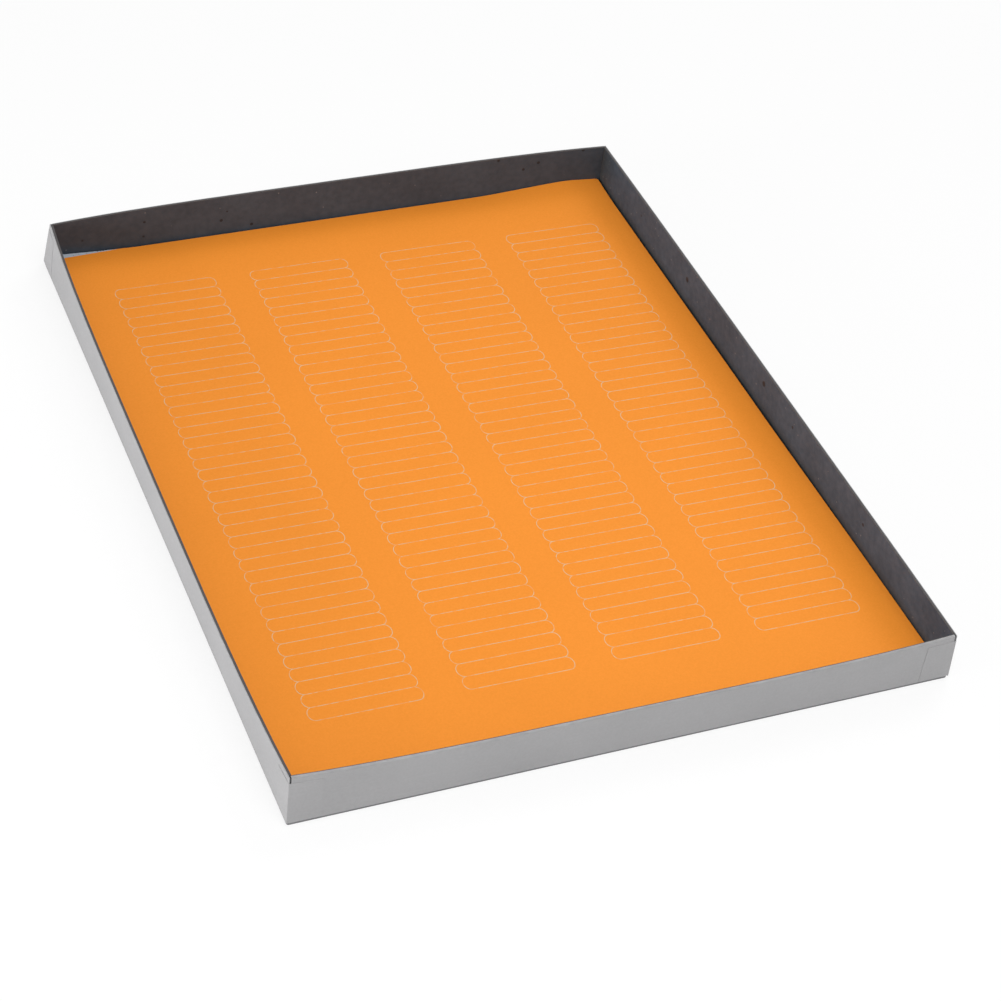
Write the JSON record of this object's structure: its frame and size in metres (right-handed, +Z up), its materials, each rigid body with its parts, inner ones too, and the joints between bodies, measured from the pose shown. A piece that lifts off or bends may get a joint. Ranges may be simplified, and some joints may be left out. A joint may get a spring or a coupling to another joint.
{
  "type": "wet palette",
  "caption": "Shallow open tray with thin lined walls and corner stays, holding a sponge pad and a lift-out palette sheet marked with rows of mixing lanes.",
  "frame": {"origin": "centre of the floor plate's underside, on the surface that the tray stands on", "axes": "+X across the tray, +Y along it to the wall at the back, +Z up out of the tray"},
  "size_m": [0.3048, 0.3893, 0.0255],
  "materials": {
    "outer_grey": "matt light grey sheet",
    "inner_dark": "dark grey foamed sheet with fine pits",
    "stay_grey": "matt light grey strip",
    "sponge": "pale bluish grey cellulose sponge",
    "sheet_orange": "matt orange sheet",
    "lane_ink": "thin pale ink of the lane outlines"
  },
  "bodies": {
    "tray": {"floor_plate": "outer_grey", "left_skin": "outer_grey", "right_skin": "outer_grey", "front_skin": "outer_grey", "back_skin": "outer_grey", "left_liner": "inner_dark", "right_liner": "inner_dark", "front_liner": "inner_dark", "back_liner": "inner_dark", "corner_stay_front_left": "stay_grey", "corner_stay_front_right": "stay_grey", "corner_stay_back_left": "stay_grey", "corner_stay_back_right": "stay_grey"},
    "sponge": {"sponge_pad": "sponge"},
    "sheet": {"palette_sheet": "sheet_orange"}
  },
  "joints": [
    {"name": "sponge_lift", "type": "slide", "parent": "tray", "child": "sponge", "axis": [0, 0, 1], "range_m": [0, 0.045]},
    {"name": "sheet_lift", "type": "slide", "parent": "sponge", "child": "sheet", "axis": [0, 0, 1], "range_m": [0, 0.045]}
  ]
}
